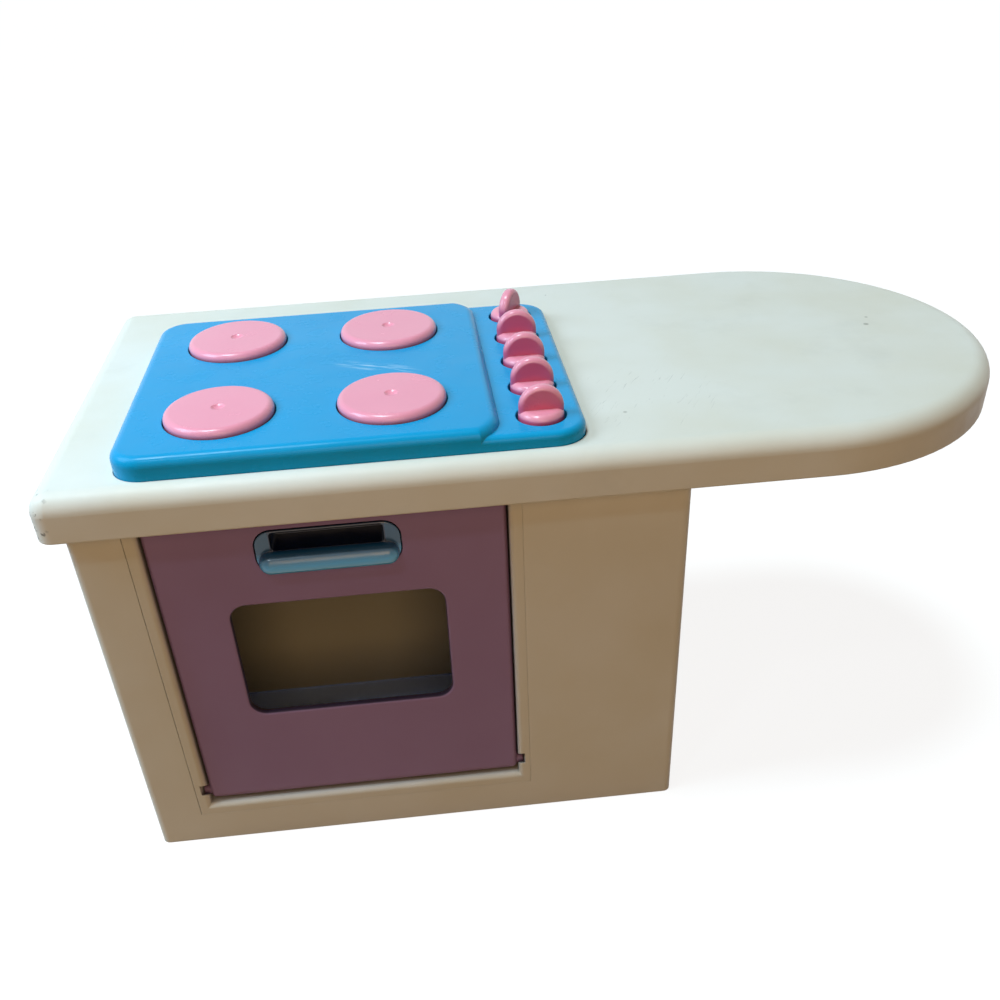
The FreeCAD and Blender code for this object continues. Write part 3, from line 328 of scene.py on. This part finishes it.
# painted shade: everything behind the door's plane is mixed towards a darker grey-beige
painted_cavity_shade = add(tree, "ShaderNodeMath", {0: behind_door.outputs["Result"], 1: 0.9}, operation="MULTIPLY")
tone = add(tree, "ShaderNodeMix", {
    "Factor": painted_cavity_shade.outputs["Value"], "A": tone, "B": linear("#A8A28C")},
    data_type="RGBA").outputs["Result"]
# painted cool light: the cavity's floor behind the door is mixed towards pale blue
painted_floor_light = add(tree, "ShaderNodeMath", {0: behind_door.outputs["Result"], 1: on_floor.outputs["Result"]},
           operation="MULTIPLY")
tone = add(tree, "ShaderNodeMix", {
    "Factor": painted_floor_light.outputs["Value"], "A": tone, "B": linear("#B2CCFF")},
    data_type="RGBA").outputs["Result"]
tree.links.new(tone, shader.inputs["Base Color"])
dress(shaded_dusty_ivory, "oven_liner")


# The oven door is a tray moulded in lilac ABS, open at the back, with an unglazed window and a hinge
# pin moulded on each end of its rounded lower edge. The window's inner edge is painted dark as shade.

# Moulded lilac ABS with a satin face: an even greyed purple, with painted shade in its inner corners
lilac = moulded_abs("lilac_abs_moulded", "#9A7B9E", "#937496", "#B79CBB", soil_and_shade="#2E1C26", soil_and_shade_share=0.4,
                    soil_and_shade_mm=3, roughness=0.45, shine=0.2, cloud_mm=70, speck_mm=30)
tree, shader, place, tone = worn_parts(lilac)
door_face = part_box("oven_door")[0][1]


def inside(tree, place, name, front, grow):
    """One within the record's opening of this name, from a front plane backwards, and nothing outside it.
    The opening is grown sideways to take in the walls round it."""
    box = opening(name)
    low = Vector((box[0][0] - grow, front, box[0][2] - grow))
    high = Vector((box[1][0] + grow, box[1][1] + grow, box[1][2] + grow))
    from_middle = add(tree, "ShaderNodeVectorMath", {0: place, 1: (low + high) / 2}, operation="SUBTRACT")
    either_way = add(tree, "ShaderNodeVectorMath", {0: from_middle.outputs["Vector"]}, operation="ABSOLUTE")
    past = add(tree, "ShaderNodeVectorMath", {0: either_way.outputs["Vector"], 1: (high - low) / 2},
               operation="SUBTRACT")
    sides = add(tree, "ShaderNodeSeparateXYZ", {"Vector": past.outputs["Vector"]})
    furthest = add(tree, "ShaderNodeMath", {0: sides.outputs["X"], 1: sides.outputs["Y"]},
                   operation="MAXIMUM")
    furthest = add(tree, "ShaderNodeMath", {0: furthest.outputs["Value"], 1: sides.outputs["Z"]},
                   operation="MAXIMUM")
    return add(tree, "ShaderNodeMapRange", {
        "Value": furthest.outputs["Value"], "From Min": 0.0, "From Max": 0.0003,
        "To Min": 1.0, "To Max": 0.0})


# painted shade: the window's inner edge, behind the door's face, is mixed towards near-black
rim = inside(tree, place, "door_window", front=door_face + 0.0005, grow=0.0024)
reveal_shade_share = add(tree, "ShaderNodeMath", {0: rim.outputs["Result"], 1: 0.85}, operation="MULTIPLY")
tone = add(tree, "ShaderNodeMix", {
    "Factor": reveal_shade_share.outputs["Value"], "A": tone, "B": linear("#1A121E")},
    data_type="RGBA").outputs["Result"]
tree.links.new(tone, shader.inputs["Base Color"])
dress(lilac, "oven_door")


# The handle is a cup moulded in blue ABS with a rolled bar along its lower lip. It is let into the
# door from behind and held by two melted posts. Hands have polished the bar. The cup, the rim over
# the bar and the bar's lower side are painted dark as shade.

# Moulded blue ABS polished by fingers: a pale glossy blue with a clear highlight, painted near-black in its
# corners as shade
polished_shaded_blue = moulded_abs("blue_abs_moulded_polished_and_shaded", "#50BAFF", "#4CB2F6", "#A8DCF8",
                            soil_and_shade="#01030A", soil_and_shade_share=0.97, soil_and_shade_mm=13, roughness=0.2, shine=0.6,
                            cloud_mm=45, speck_mm=30)
tree, shader, place, tone = worn_parts(polished_shaded_blue)
bar_radius = 0.0041
bar_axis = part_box("door_handle")[0][2] + bar_radius

# painted shade: near-black inside the cup, darker on its rim over the bar and on the bar's lower side
cup = inside(tree, place, "handle_pocket", front=door_face - 0.0004, grow=0.0008)
in_cup = add(tree, "ShaderNodeMath", {0: cup.outputs["Result"], 1: 0.95}, operation="MULTIPLY")
axes = add(tree, "ShaderNodeSeparateXYZ", {"Vector": place})
on_front = add(tree, "ShaderNodeMapRange", {
    "Value": axes.outputs["Y"], "From Min": door_face + 0.001, "From Max": door_face + 0.003,
    "To Min": 1.0, "To Max": 0.0})
over_bar = add(tree, "ShaderNodeMapRange", {
    "Value": axes.outputs["Z"], "From Min": bar_axis + bar_radius * 0.7,
    "From Max": bar_axis + bar_radius * 1.5, "To Max": 0.85})
under_bar = add(tree, "ShaderNodeMapRange", {
    "Value": axes.outputs["Z"], "From Min": bar_axis + bar_radius * 0.2,
    "From Max": bar_axis - bar_radius * 0.9, "To Max": 0.6})
painted_shades = [in_cup.outputs["Value"]]
for band in (over_bar, under_bar):
    painted_shades.append(add(tree, "ShaderNodeMath", {0: band.outputs["Result"], 1: on_front.outputs["Result"]},
                      operation="MULTIPLY").outputs["Value"])
for painted_shade in painted_shades:
    tone = add(tree, "ShaderNodeMix", {
        "Factor": painted_shade, "A": tone, "B": linear("#060D2C")}, data_type="RGBA").outputs["Result"]
tree.links.new(tone, shader.inputs["Base Color"])
dress(polished_shaded_blue, "door_handle")


# The counter is a hollow moulding in ivory ABS with a bullnose edge, closed below by a plate that screws
# hold. It carries the wear of the whole toy: scratches, smudges, nicks at the front corner, a stain.

# Moulded ivory ABS as on the cabinet: the same soft gloss under marks of use, laid over it one by one
worn_ivory = moulded_abs("ivory_abs_moulded_and_worn", *ivory_tones, soil_and_shade="#5A5040", soil_and_shade_share=0.25,
                         soil_and_shade_mm=2, roughness=0.42, shine=0.2, cloud_mm=55, speck_mm=27)
tree, shader, place, tone = worn_parts(worn_ivory)
counter_top = 0.165

# smudges some 30 mm across, left by hands
grease = add(tree, "ShaderNodeTexNoise", {
    "Vector": place, "Scale": per_metre(34), "Detail": 5.0, "Roughness": 0.62})
smudge = add(tree, "ShaderNodeMapRange", {
    "Value": grease.outputs["Fac"], "From Min": 0.55, "From Max": 0.75, "To Max": 0.14})
tone = add(tree, "ShaderNodeMix", {
    "Factor": smudge.outputs["Result"], "A": tone, "B": linear("#B8B4A8")},
    data_type="RGBA").outputs["Result"]

# hair scratches 0.1 mm wide and 9 mm long, in one patch, drawn at about 0.4 mm so that they show
slant = add(tree, "ShaderNodeMapping", {
    "Vector": place, "Rotation": (0, 0, math.radians(58)), "Scale": (0.009, 0.0009, 0.0009)},
    vector_type="TEXTURE")
hair = add(tree, "ShaderNodeTexNoise", {
    "Vector": slant.outputs["Vector"], "Scale": 1.0, "Detail": 2.0, "Distortion": 0.7})
scratch = add(tree, "ShaderNodeMapRange", {
    "Value": hair.outputs["Fac"], "From Min": 0.66, "From Max": 0.76})
scratch_patch = (0.0930, -0.0420, counter_top)
from_patch = add(tree, "ShaderNodeVectorMath", {0: place, 1: scratch_patch}, operation="DISTANCE")
scratched = add(tree, "ShaderNodeMapRange", {
    "Value": from_patch.outputs["Value"], "From Min": 0.006, "From Max": 0.034,
    "To Min": 0.5, "To Max": 0.02})
scratch = add(tree, "ShaderNodeMath", {0: scratch.outputs["Result"], 1: scratched.outputs["Result"]},
              operation="MULTIPLY")
tone = add(tree, "ShaderNodeMix", {
    "Factor": scratch.outputs["Value"], "A": tone, "B": linear("#8A8474")},
    data_type="RGBA").outputs["Result"]

# ragged nicks of one to two millimetres up the front left corner, where the toy has been knocked
chips = add(tree, "ShaderNodeTexVoronoi", {"Vector": place, "Scale": per_metre(3.4)})
chip = add(tree, "ShaderNodeMapRange", {
    "Value": chips.outputs["Distance"], "From Min": 0.22, "From Max": 0.34, "To Min": 1.0, "To Max": 0.0})
knocked_corner = (-0.1105, -0.0795, 0.1545)
from_corner = add(tree, "ShaderNodeVectorMath", {0: place, 1: knocked_corner}, operation="SUBTRACT")
along_edge = add(tree, "ShaderNodeVectorMath", {0: from_corner.outputs["Vector"], 1: (1.0, 1.0, 0.4)},
                 operation="MULTIPLY")
off_edge = add(tree, "ShaderNodeVectorMath", {0: along_edge.outputs["Vector"]}, operation="LENGTH")
knocked = add(tree, "ShaderNodeMapRange", {
    "Value": off_edge.outputs["Value"], "From Min": 0.004, "From Max": 0.0085,
    "To Min": 1.0, "To Max": 0.0})
ragged = add(tree, "ShaderNodeTexNoise", {"Vector": place, "Scale": per_metre(1.3), "Detail": 3.0})
torn = add(tree, "ShaderNodeMapRange", {"Value": ragged.outputs["Fac"], "From Min": 0.44, "From Max": 0.56})
nick = chip
for limit in (knocked, torn):
    nick = add(tree, "ShaderNodeMath", {0: nick.outputs[0], 1: limit.outputs["Result"]},
               operation="MULTIPLY")
tone = add(tree, "ShaderNodeMix", {
    "Factor": nick.outputs["Value"], "A": tone, "B": linear("#4F4538")},
    data_type="RGBA").outputs["Result"]

# two specks of paint, a nick in the front edge and a short cut, each where the real one has it
marks = (((0.1968, 0.0116, counter_top), 0.0008, 0.5),
         ((0.1939, 0.0044, counter_top), 0.0013, 0.55),
         ((0.0603, -0.0830, 0.1571), 0.0010, 0.7),
         ((0.0850, -0.0561, counter_top), 0.0009, 0.4))
for middle, radius, share in marks:
    away = add(tree, "ShaderNodeVectorMath", {0: place, 1: middle}, operation="DISTANCE")
    mark = add(tree, "ShaderNodeMapRange", {
        "Value": away.outputs["Value"], "From Min": radius * 0.5, "From Max": radius,
        "To Min": share, "To Max": 0.0})
    tone = add(tree, "ShaderNodeMix", {
        "Factor": mark.outputs["Result"], "A": tone, "B": linear("#6F6654")},
        data_type="RGBA").outputs["Result"]

# a yellow stain has run along the lower side of the round end, in blotches of about 11 mm
stained_end = (0.214, -0.046, 0.1525)
from_stain = add(tree, "ShaderNodeVectorMath", {0: place, 1: stained_end}, operation="DISTANCE")
stain = add(tree, "ShaderNodeMapRange", {
    "Value": from_stain.outputs["Value"], "From Min": 0.008, "From Max": 0.040,
    "To Min": 1.0, "To Max": 0.0})
blotch = add(tree, "ShaderNodeTexNoise", {"Vector": place, "Scale": per_metre(11), "Detail": 4.0})
axes = add(tree, "ShaderNodeSeparateXYZ", {"Vector": place})
below_top = add(tree, "ShaderNodeMapRange", {
    "Value": axes.outputs["Z"], "From Min": 0.1535, "From Max": 0.1600, "To Min": 0.9, "To Max": 0.0})
for limit in (below_top.outputs["Result"], blotch.outputs["Fac"]):
    stain = add(tree, "ShaderNodeMath", {0: stain.outputs[0], 1: limit}, operation="MULTIPLY")
tone = add(tree, "ShaderNodeMix", {
    "Factor": stain.outputs["Value"], "A": tone, "B": linear("#A87F3C")},
    data_type="RGBA").outputs["Result"]
tree.links.new(tone, shader.inputs["Base Color"])
dress(worn_ivory, "countertop")
dress(ivory, "countertop_underside")
drive_screws("counter_screws", length=0.0132, seat=0.1456,
             places=[(x, y) for x in (-0.097, 0.097) for y in (-0.05, 0.05)])
round_end = 0.1498
screw_circle = 0.066
drive_screws("underside_screws", length=0.0084, seat=0.1504,
             places=[(round_end + screw_circle * math.cos(turn), screw_circle * math.sin(turn))
                     for turn in (0, 2 * math.pi / 3, 4 * math.pi / 3)])


# The cooktop is a two-level panel moulded in blue ABS, sunk in the counter's rebate and hooked into its
# cut-out. A pan has left pale scuffs on the hob between the burners.

# Moulded blue ABS with a smooth face: a deep even blue with a faint gloss, matt and pale where it is scuffed
scuffed_blue = moulded_abs("blue_abs_moulded_and_scuffed", "#069FD4", "#0498CD", "#7CC4E6", soil_and_shade="#08456B",
                           soil_and_shade_share=0.3, soil_and_shade_mm=3, roughness=0.24, shine=0.12, cloud_mm=45, speck_mm=45)
tree, shader, place, tone = worn_parts(scuffed_blue)
gloss = shader.inputs["Roughness"].links[0].from_socket

# streaks 13 mm long and about 1 mm wide, within an oval of 38 by 9 mm that lies along the drag
scuff_middle = (0.0010, -0.0180, 0.1727)
drag_turn = (0, 0, math.radians(-24))
drag = add(tree, "ShaderNodeMapping", {
    "Vector": place, "Rotation": drag_turn, "Scale": (0.013, 0.0012, 0.006)}, vector_type="TEXTURE")
grit = add(tree, "ShaderNodeTexNoise", {"Vector": drag.outputs["Vector"], "Scale": 1.0, "Detail": 4.0})
streak = add(tree, "ShaderNodeMapRange", {"Value": grit.outputs["Fac"], "From Min": 0.5, "From Max": 0.68})
over_scuff = add(tree, "ShaderNodeMapping", {
    "Vector": place, "Location": scuff_middle, "Rotation": drag_turn, "Scale": (0.019, 0.0044, 0.019)},
    vector_type="TEXTURE")
spread = add(tree, "ShaderNodeVectorMath", {0: over_scuff.outputs["Vector"]}, operation="LENGTH")
dragged = add(tree, "ShaderNodeMapRange", {
    "Value": spread.outputs["Value"], "From Min": 0.25, "From Max": 1.0, "To Min": 0.65, "To Max": 0.0})
scuff = add(tree, "ShaderNodeMath", {0: streak.outputs["Result"], 1: dragged.outputs["Result"]},
            operation="MULTIPLY")
tone = add(tree, "ShaderNodeMix", {
    "Factor": scuff.outputs["Value"], "A": tone, "B": linear("#DCEFF7")},
    data_type="RGBA").outputs["Result"]
gloss = add(tree, "ShaderNodeMix", {
    "Factor": scuff.outputs["Value"], "A": gloss, "B": 0.7}).outputs["Result"]
tree.links.new(tone, shader.inputs["Base Color"])
tree.links.new(gloss, shader.inputs["Roughness"])
dress(scuffed_blue, "cooktop_panel")


# The burners are discs moulded in pink ABS with a dimple in the middle. Each is snapped into a well of the
# cooktop by a split post.

# Moulded pink ABS with a smooth face: a clear warm pink with a small bright highlight, painted deep red in
# the gaps as shade
pink_tones = ("#F79BAF", "#F394AA", "#FBC6D0")
pink = moulded_abs("pink_abs_moulded", *pink_tones, soil_and_shade="#7A1F38", soil_and_shade_share=0.8, soil_and_shade_mm=4,
                   roughness=0.22, shine=0.45, cloud_mm=30, speck_mm=30)
dress(pink, "burner_front_left", "burner_front_right", "burner_rear_left", "burner_rear_right")


# The knobs are moulded in the same pink ABS and turn on split posts in the lower strip. Their upright
# faces, the flat sides of the fins, are painted a darker red as shade.

# Moulded pink ABS as on the burners, with painted shade: darker on upright faces
side_shaded_pink = moulded_abs("pink_abs_moulded_and_side_shaded", *pink_tones, soil_and_shade="#7A1F38", soil_and_shade_share=0.6,
                           soil_and_shade_mm=4, roughness=0.22, shine=0.45, cloud_mm=30, speck_mm=30)
tree, shader, place, tone = worn_parts(side_shaded_pink)
# painted shade: faces that stand upright are mixed towards a darker red
surface = add(tree, "ShaderNodeNewGeometry")
facing = add(tree, "ShaderNodeSeparateXYZ", {"Vector": surface.outputs["Normal"]})
upright = add(tree, "ShaderNodeMath", {0: facing.outputs["Z"]}, operation="ABSOLUTE")
painted_side_shade = add(tree, "ShaderNodeMapRange", {
    "Value": upright.outputs["Value"], "From Min": 0.05, "From Max": 0.35, "To Min": 0.85, "To Max": 0.0})
tone = add(tree, "ShaderNodeMix", {
    "Factor": painted_side_shade.outputs["Result"], "A": tone, "B": linear("#D8587F")},
    data_type="RGBA").outputs["Result"]
tree.links.new(tone, shader.inputs["Base Color"])
dress(side_shaded_pink, *[f"knob_{number}" for number in range(1, 6)])


# The stand is a plain pale floor. It reads white to the eye and keeps the shadow, and it throws back
# the warm light of a table top.

def seen_by_eye(tree):
    """One for the rays that show the surface itself, straight or in a gloss, and nothing for the rest."""
    path = add(tree, "ShaderNodeLightPath")
    seen = path.outputs["Is Camera Ray"]
    for ray in ("Is Glossy Ray", "Is Transmission Ray"):
        seen = add(tree, "ShaderNodeMath", {0: seen, 1: path.outputs[ray]},
                   operation="MAXIMUM").outputs["Value"]
    return seen


floor_mesh = bpy.data.meshes.new("floor")
reach = 6.0
floor_mesh.from_pydata(
    [(-reach, -reach, 0), (reach, -reach, 0), (reach, reach, 0), (-reach, reach, 0)], [], [(0, 1, 2, 3)])
floor = bpy.data.objects.new("floor", floor_mesh)
floor.location.z = -0.0002
bpy.context.scene.collection.objects.link(floor)
pale = bpy.data.materials.new("pale_floor")
pale.use_nodes = True
tree = pale.node_tree
tree.nodes.clear()
table_top = add(tree, "ShaderNodeBsdfDiffuse", {"Color": linear("#7A5C3E")})
shadow = add(tree, "ShaderNodeBsdfDiffuse", {"Color": (0.25, 0.25, 0.25, 1)})
white = add(tree, "ShaderNodeEmission", {"Color": (1, 1, 1, 1), "Strength": 0.88})
sheet = add(tree, "ShaderNodeAddShader", {0: shadow.outputs[0], 1: white.outputs[0]})
both = add(tree, "ShaderNodeMixShader", {
    0: seen_by_eye(tree), 1: table_top.outputs[0], 2: sheet.outputs[0]})
add(tree, "ShaderNodeOutputMaterial", {"Surface": both.outputs[0]})
floor_mesh.materials.append(pale)


# Soft studio light: cool lamps above and to the left, dim warm ones in front, and a small one for gloss.
# The room behind them is white to the eye and gives almost no light.

world = bpy.data.worlds.new("studio")
bpy.context.scene.world = world
world.use_nodes = True
tree = world.node_tree
tree.nodes.clear()
room = add(tree, "ShaderNodeBackground", {"Color": (1, 0.92, 0.84, 1), "Strength": 0.02})
white = add(tree, "ShaderNodeBackground", {"Color": (1, 1, 1, 1), "Strength": 1.0})
both = add(tree, "ShaderNodeMixShader", {0: seen_by_eye(tree), 1: room.outputs[0], 2: white.outputs[0]})
add(tree, "ShaderNodeOutputWorld", {"Surface": both.outputs[0]})


def lamp(name, kind, place, target, colour, energy, **settings):
    """A lamp at a place, turned to a target. Settings are its angle or size."""
    light = bpy.data.lights.new(name, kind)
    light.color = colour
    light.energy = energy
    for setting, value in settings.items():
        setattr(light, setting, value)
    carrier = bpy.data.objects.new(name, light)
    carrier.location = place
    carrier.rotation_euler = (Vector(target) - Vector(place)).to_track_quat("-Z", "Y").to_euler()
    bpy.context.scene.collection.objects.link(carrier)


lamp("sky_light", "SUN", place=(-0.25, 0.0, 1.0), target=(0, 0, 0),
     colour=(0.79, 1.0, 1.07), energy=1.9, angle=math.radians(15))
lamp("left_light", "AREA", place=(-0.45, -0.05, 0.55), target=(-0.1, 0, 0.16),
     colour=(0.56, 0.78, 1.0), energy=2.65, size=0.3)
lamp("front_light", "AREA", place=(0.07, -1.05, 0.66), target=(0, 0, 0.08),
     colour=(1.0, 0.67, 0.37), energy=2.6, size=0.6)
lamp("low_fill", "AREA", place=(0.0, -1.2, 0.30), target=(0, 0, 0.08),
     colour=(1.0, 0.66, 0.36), energy=0.8, size=0.9)
lamp("key_light", "AREA", place=(-0.22, -0.42, 0.72), target=(-0.05, -0.05, 0.15),
     colour=(0.75, 0.92, 1.0), energy=0.34, size=0.05)


# The camera stands where the photograph was taken from, as found by fitting the edges of cabinet, counter
# and cooktop. Its three directions are its own right, up and back.

camera_data = bpy.data.cameras.new("camera")
camera_data.sensor_width = 36.0
camera_data.lens = 37.48
camera_data.shift_x = 0.0048
camera_data.shift_y = 0.0991
camera_data.clip_start = 0.01
camera = bpy.data.objects.new("camera", camera_data)
right = Vector((0.99405, -0.10025, -0.04269))
up = Vector((0.09276, 0.57298, 0.81430))
back = Vector((-0.05718, -0.81341, 0.57887))
turned = Matrix((right, up, back)).transposed().to_4x4()
camera.matrix_world = Matrix.Translation((0.01447, -0.37827, 0.32105)) @ turned
bpy.context.scene.collection.objects.link(camera)
bpy.context.scene.camera = camera
bpy.context.scene.view_settings.view_transform = "Standard"
